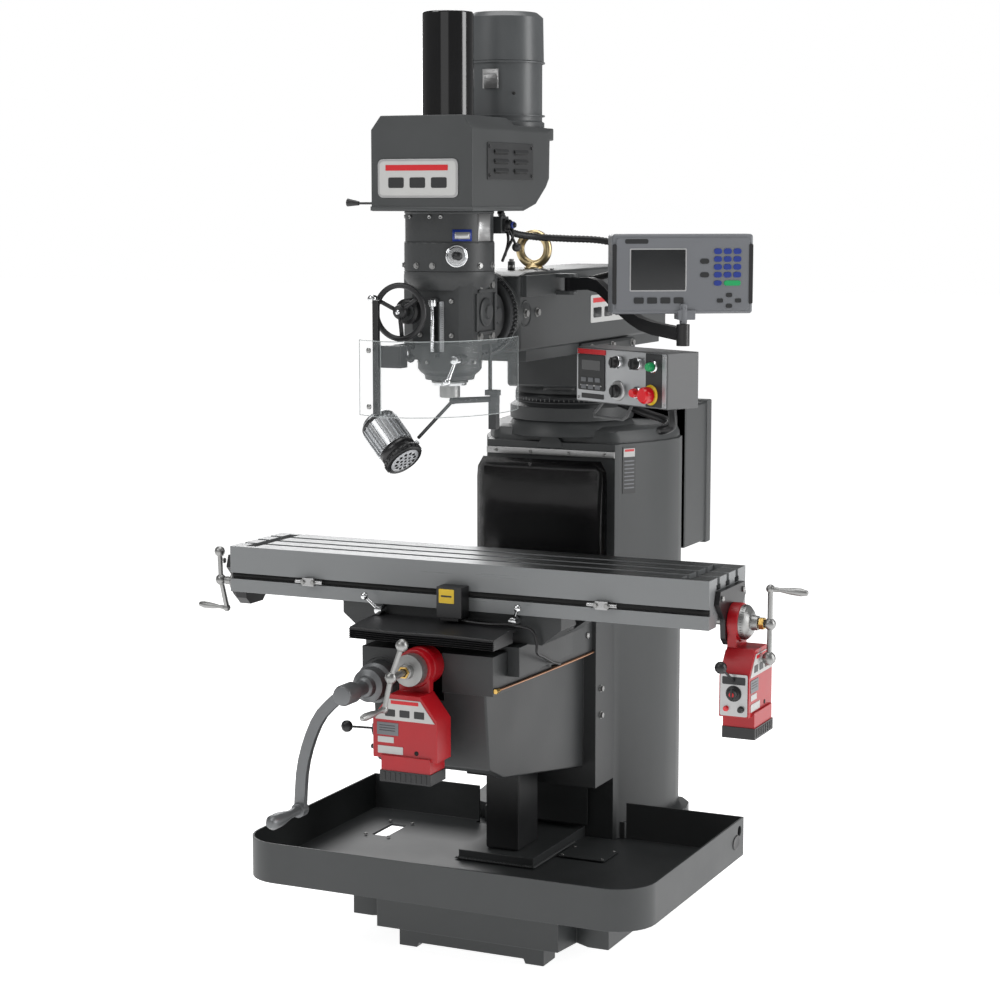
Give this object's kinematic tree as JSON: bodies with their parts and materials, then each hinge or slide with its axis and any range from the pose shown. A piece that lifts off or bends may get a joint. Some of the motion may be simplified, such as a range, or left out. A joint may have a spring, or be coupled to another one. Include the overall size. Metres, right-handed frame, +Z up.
{
  "type": "turret milling machine",
  "caption": "Floor-standing knee mill with a swivelling turret, sliding ram, tilting head, T-slot table on saddle and knee, power feeds, readout and pendant.",
  "frame": {"origin": "on the floor, at the centre of the base casting's middle foot rib, under the column's centre plane", "axes": "+Z up, +X to the right along the table's long travel, -Y towards the operator at the front"},
  "size_m": [1.658, 1.622, 2.327],
  "materials": {
    "casting_grey": "semi-gloss dark grey machine enamel, lightly textured",
    "cast_iron_ground": "ground flat, faint lay lines",
    "feed_red": "gloss red enamel",
    "black_paint": "semi-gloss black",
    "black_plastic": "satin black",
    "steel": "turned and polished",
    "chrome": "bright chrome",
    "cover_alloy": "dark grey enamel on cast alloy",
    "motor_paint": "semi-gloss grey",
    "tube_black": "gloss black",
    "lamp_alloy": "brushed",
    "clear_plastic": "clear sheet",
    "readout_shell": "satin silver grey",
    "box_metal": "brushed silver sheet",
    "rubber_black": "folded black sheet",
    "gold_steel": "yellow passivated",
    "start_green": "gloss",
    "stop_red": "gloss"
  },
  "bodies": {
    "frame": {"base_casting": "casting_grey", "chip_tray": "casting_grey", "column_casting": "casting_grey", "cover_strip": "steel", "rear_way_cover": "rubber_black", "electrical_cabinet": "casting_grey", "elevating_post": "casting_grey"},
    "knee": {"knee_casting": "casting_grey", "y_feed_housing": "feed_red"},
    "cross_screw": {"cross_crank": "steel"},
    "cross_feed_lever": {"y_feed_lever": "black_plastic"},
    "knee_handle": {"knee_crank": "black_paint"},
    "saddle": {"saddle_casting": "casting_grey", "front_way_cover": "rubber_black", "limit_switch": "black_plastic", "limit_cable": "rubber_black"},
    "lock_left": {"lock_lever_left": "chrome"},
    "lock_right": {"lock_lever_right": "chrome"},
    "table": {"table_plate": "cast_iron_ground", "stop_dog_left": "steel", "stop_dog_right": "steel", "end_bracket_left": "black_paint", "end_bracket_right": "black_paint", "x_feed_housing": "feed_red"},
    "long_screw": {"x_leadscrew": "steel", "crank_right": "steel", "crank_left": "steel"},
    "long_feed_lever": {"x_feed_lever": "black_plastic"},
    "turret": {"turret": "casting_grey", "pendant_conduit": "rubber_black"},
    "ram": {"ram": "casting_grey", "eye_bolt": "gold_steel", "head_conduit": "rubber_black"},
    "knuckle": {"knuckle": "casting_grey"},
    "head": {"head_casting": "casting_grey", "gearbox": "casting_grey", "belt_cover": "cover_alloy", "motor": "motor_paint", "drawbar_tube": "tube_black", "guard_rail": "black_paint"},
    "fine_feed_wheel": {"handwheel": "black_plastic"},
    "feed_engage_lever": {"feed_lever": "black_plastic"},
    "quill_lock": {"quill_lock": "chrome"},
    "range_selector": {"range_selector": "chrome"},
    "brake_lever": {"brake_lever": "black_plastic"},
    "quill": {"quill": "steel"},
    "spindle": {"spindle": "steel"},
    "guard": {"guard_shield": "clear_plastic"},
    "lamp_arm": {"lamp_arm": "black_paint"},
    "lamp": {"lamp_head": "lamp_alloy"},
    "readout_arm": {"readout_arm": "tube_black"},
    "readout": {"readout": "readout_shell"},
    "pendant_arm": {"pendant_arm": "tube_black"},
    "pendant": {"control_box": "box_metal"},
    "start_button": {"start_button": "start_green"},
    "stop_button": {"stop_button": "stop_red"},
    "emergency_button": {"emergency_button": "stop_red"},
    "mode_selector": {"mode_selector": "black_plastic"},
    "direction_selector": {"direction_selector": "black_plastic"},
    "speed_dial": {"speed_dial": "black_plastic"}
  },
  "joints": [
    {"name": "knee_slide", "type": "slide", "parent": "frame", "child": "knee", "axis": [0, 0, 1], "range_m": [-0.12, 0.17], "deforming": ["rear_way_cover"]},
    {"name": "saddle_slide", "type": "slide", "parent": "knee", "child": "saddle", "axis": [0, 1, 0], "range_m": [-0.075, 0.18], "deforming": ["front_way_cover", "limit_cable"]},
    {"name": "table_slide", "type": "slide", "parent": "saddle", "child": "table", "axis": [1, 0, 0], "range_m": [-0.29, 0.3]},
    {"name": "cross_crank_spin", "type": "hinge", "parent": "knee", "child": "cross_screw", "pos_m": [0, -0.7345, 0.788], "axis": [0, -1, 0], "continuous": true},
    {"name": "long_screw_spin", "type": "hinge", "parent": "table", "child": "long_screw", "pos_m": [0, -0.433, 0.903], "axis": [1, 0, 0], "continuous": true},
    {"name": "knee_crank_turn", "type": "hinge", "parent": "knee", "child": "knee_handle", "pos_m": [-0.12, -0.6705, 0.737], "axis": [0, -1, 0], "range_deg": [-150, 60]},
    {"name": "cross_feed_lever_tilt", "type": "hinge", "parent": "knee", "child": "cross_feed_lever", "pos_m": [-0.0865, -0.75, 0.64], "axis": [0, 1, 0], "range_deg": [-12, 12]},
    {"name": "long_feed_lever_tilt", "type": "hinge", "parent": "table", "child": "long_feed_lever", "pos_m": [0.7135, -0.5195, 0.78], "axis": [0, 0, 1], "range_deg": [-12, 12]},
    {"name": "lock_left_turn", "type": "hinge", "parent": "saddle", "child": "lock_left", "pos_m": [-0.178, -0.557, 0.886], "axis": [0, -1, 0], "range_deg": [-35, 20]},
    {"name": "lock_right_turn", "type": "hinge", "parent": "saddle", "child": "lock_right", "pos_m": [0.18, -0.557, 0.886], "axis": [0, -1, 0], "range_deg": [-20, 35]},
    {"name": "turret_swivel", "type": "hinge", "parent": "frame", "child": "turret", "pos_m": [0, 0.2, 1.35], "axis": [0, 0, 1], "range_deg": [-90, 75]},
    {"name": "ram_slide", "type": "slide", "parent": "turret", "child": "ram", "axis": [0, 1, 0], "range_m": [-0.04, 0.33]},
    {"name": "head_tilt", "type": "hinge", "parent": "ram", "child": "knuckle", "pos_m": [0, -0.373, 1.6], "axis": [0, 1, 0], "range_deg": [-40, 25], "deforming": ["head_conduit"]},
    {"name": "head_nod", "type": "hinge", "parent": "knuckle", "child": "head", "pos_m": [0, -0.445, 1.6], "axis": [1, 0, 0], "range_deg": [-15, 15], "deforming": ["head_conduit"]},
    {"name": "fine_feed_spin", "type": "hinge", "parent": "head", "child": "fine_feed_wheel", "pos_m": [-0.066, -0.668, 1.615], "axis": [0, -1, 0], "continuous": true},
    {"name": "feed_engage_turn", "type": "hinge", "parent": "head", "child": "feed_engage_lever", "pos_m": [-0.062, -0.627, 1.533], "axis": [0, -1, 0], "range_deg": [-25, 25]},
    {"name": "quill_lock_turn", "type": "hinge", "parent": "head", "child": "quill_lock", "pos_m": [0.055, -0.6205, 1.503], "axis": [0, -1, 0], "range_deg": [-15, 60]},
    {"name": "range_selector_turn", "type": "hinge", "parent": "head", "child": "range_selector", "pos_m": [0.06166, -0.62806, 1.745], "axis": [0.5736, -0.8192, 0], "range_deg": [0, 60]},
    {"name": "brake_turn", "type": "hinge", "parent": "head", "child": "brake_lever", "pos_m": [-0.131, -0.66, 1.866], "axis": [0, 1, 0], "range_deg": [-12, 12]},
    {"name": "quill_slide", "type": "slide", "parent": "head", "child": "quill", "axis": [0, 0, 1], "range_m": [-0.115, 0]},
    {"name": "spindle_spin", "type": "hinge", "parent": "quill", "child": "spindle", "pos_m": [0, -0.54, 1.45], "axis": [0, 0, 1], "continuous": true},
    {"name": "guard_swing", "type": "hinge", "parent": "head", "child": "guard", "pos_m": [-0.091, -0.739, 1.46], "axis": [0, 0, 1], "range_deg": [-60, 0]},
    {"name": "lamp_arm_swing", "type": "hinge", "parent": "head", "child": "lamp_arm", "pos_m": [0.085, -0.47, 1.402], "axis": [0, 0, 1], "range_deg": [-30, 0]},
    {"name": "lamp_turn", "type": "hinge", "parent": "lamp_arm", "child": "lamp", "pos_m": [-0.118, -0.475, 1.3], "axis": [-0.311, -0.9504, 0], "range_deg": [-15, 15]},
    {"name": "readout_arm_swing", "type": "hinge", "parent": "ram", "child": "readout_arm", "pos_m": [0.145, -0.15, 1.666], "axis": [0, 0, 1], "range_deg": [-5, 60]},
    {"name": "readout_swivel", "type": "hinge", "parent": "readout_arm", "child": "readout", "pos_m": [0.499, -0.3, 1.59], "axis": [0, 0, 1], "range_deg": [-20, 30]},
    {"name": "pendant_arm_swing", "type": "hinge", "parent": "turret", "child": "pendant_arm", "pos_m": [0.178, 0.06, 1.43], "axis": [0, 0, 1], "range_deg": [-5, 45], "deforming": ["pendant_conduit"]},
    {"name": "pendant_swivel", "type": "hinge", "parent": "pendant_arm", "child": "pendant", "pos_m": [0.39861, -0.18886, 1.45], "axis": [0, 0, 1], "range_deg": [-15, 30], "deforming": ["pendant_conduit"]},
    {"name": "start_button_press", "type": "slide", "parent": "pendant", "child": "start_button", "axis": [0.4644, 0.8856, 0], "range_m": [0, 0.005], "stiffness_N_per_m": 400},
    {"name": "stop_button_press", "type": "slide", "parent": "pendant", "child": "stop_button", "axis": [0.4644, 0.8856, 0], "range_m": [0, 0.005], "stiffness_N_per_m": 400},
    {"name": "emergency_press", "type": "slide", "parent": "pendant", "child": "emergency_button", "axis": [0.4644, 0.8856, 0], "range_m": [0, 0.005]},
    {"name": "mode_selector_turn", "type": "hinge", "parent": "pendant", "child": "mode_selector", "pos_m": [0.39414, -0.32787, 1.486], "axis": [-0.4644, -0.8856, 0], "range_deg": [-45, 45]},
    {"name": "direction_selector_turn", "type": "hinge", "parent": "pendant", "child": "direction_selector", "pos_m": [0.33037, -0.29443, 1.486], "axis": [-0.4644, -0.8856, 0], "range_deg": [-45, 45]},
    {"name": "speed_dial_turn", "type": "hinge", "parent": "pendant", "child": "speed_dial", "pos_m": [0.33392, -0.29628, 1.417], "axis": [-0.4644, -0.8856, 0], "range_deg": [-135, 135]}
  ],
  "couplings": [
    {"joint": "cross_crank_spin", "follows": "saddle_slide", "rad_per_m": 1256.6},
    {"joint": "long_screw_spin", "follows": "table_slide", "rad_per_m": 1256.6}
  ]
}
